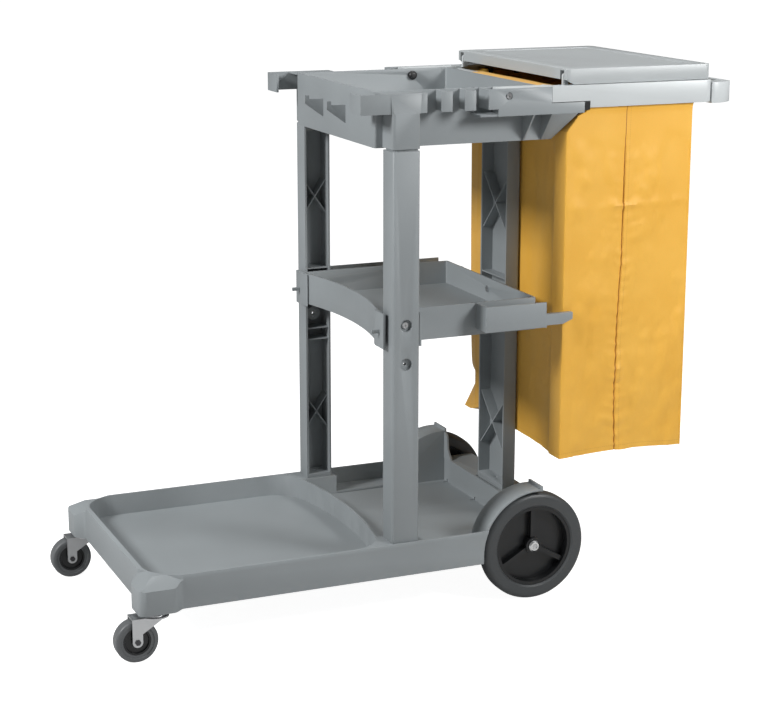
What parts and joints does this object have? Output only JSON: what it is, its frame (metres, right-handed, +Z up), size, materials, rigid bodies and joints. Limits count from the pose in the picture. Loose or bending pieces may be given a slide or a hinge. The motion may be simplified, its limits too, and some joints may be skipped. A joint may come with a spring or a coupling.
{
  "type": "housekeeping cart",
  "caption": "Housekeeping cart: moulded deck on swivel casters and large rear wheels, middle shelf, top tray with tool holders, and a lidded frame with push handle holding a hanging waste bag.",
  "frame": {"origin": "on the floor, under the middle of the cart's length and width", "axes": "+X towards the push handle, +Y to the right-hand side of the person pushing, +Z up"},
  "size_m": [1.1981, 0.502, 0.9689],
  "materials": {
    "grey_plastic": "fine grained moulded polypropylene",
    "light_plastic": "fine grained, pale grey",
    "lid_plastic": "fine grained, pale grey",
    "dark_hub": "satin charcoal",
    "black_plastic": "satin black",
    "grey_rubber": "non-marking grey tread",
    "zinc_steel": "zinc plated",
    "screw_steel": "zinc plated",
    "bag_vinyl": "coated vinyl fabric, golden yellow"
  },
  "bodies": {
    "cart": {"deck": "grey_plastic", "rear_axle": "zinc_steel", "axle_caps": "screw_steel", "axle_washers": "zinc_steel", "caster_stem_left": "zinc_steel", "caster_stem_right": "zinc_steel", "front_post_left": "grey_plastic", "front_post_right": "grey_plastic", "rear_post": "grey_plastic", "post_foot_screws": "screw_steel", "middle_shelf": "grey_plastic", "shelf_side_screws": "screw_steel", "shelf_rear_screw": "screw_steel", "top_tray": "grey_plastic", "tray_rear_screw": "screw_steel", "bag_frame": "light_plastic", "lip_pads": "black_plastic", "frame_screws": "screw_steel", "frame_nuts": "black_plastic", "waste_bag": "bag_vinyl", "bag_studs": "black_plastic"},
    "caster_left": {"caster_fork_left": "zinc_steel", "caster_bolt_left": "screw_steel", "caster_nut_left": "screw_steel"},
    "caster_wheel_left": {"caster_tyre_left": "grey_rubber", "caster_hub_left": "dark_hub"},
    "rear_wheel_left": {"rear_tyre_left": "grey_rubber", "rear_hub_left": "dark_hub", "wheel_bush_left": "black_plastic"},
    "caster_right": {"caster_fork_right": "zinc_steel", "caster_bolt_right": "screw_steel", "caster_nut_right": "screw_steel"},
    "caster_wheel_right": {"caster_tyre_right": "grey_rubber", "caster_hub_right": "dark_hub"},
    "rear_wheel_right": {"rear_tyre_right": "grey_rubber", "rear_hub_right": "dark_hub", "wheel_bush_right": "black_plastic"},
    "lid": {"lid": "lid_plastic", "lid_pins": "screw_steel"}
  },
  "joints": [
    {"name": "caster_swivel_left", "type": "hinge", "parent": "cart", "child": "caster_left", "pos_m": [-0.5276, -0.2255, 0.078], "axis": [0, 0, 1], "continuous": true},
    {"name": "caster_spin_left", "type": "hinge", "parent": "caster_left", "child": "caster_wheel_left", "pos_m": [-0.5616, -0.2255, 0.0375], "axis": [0, 1, 0], "continuous": true},
    {"name": "rear_spin_left", "type": "hinge", "parent": "cart", "child": "rear_wheel_left", "pos_m": [0.194, -0.2134, 0.1015], "axis": [0, 1, 0], "continuous": true},
    {"name": "caster_swivel_right", "type": "hinge", "parent": "cart", "child": "caster_right", "pos_m": [-0.5276, 0.2255, 0.078], "axis": [0, 0, 1], "continuous": true},
    {"name": "caster_spin_right", "type": "hinge", "parent": "caster_right", "child": "caster_wheel_right", "pos_m": [-0.5616, 0.2255, 0.0375], "axis": [0, 1, 0], "continuous": true},
    {"name": "rear_spin_right", "type": "hinge", "parent": "cart", "child": "rear_wheel_right", "pos_m": [0.194, 0.2134, 0.1015], "axis": [0, 1, 0], "continuous": true},
    {"name": "lid_hinge", "type": "hinge", "parent": "cart", "child": "lid", "pos_m": [0.248, 0, 0.9559], "axis": [0, -1, 0], "range_deg": [0, 100]}
  ]
}
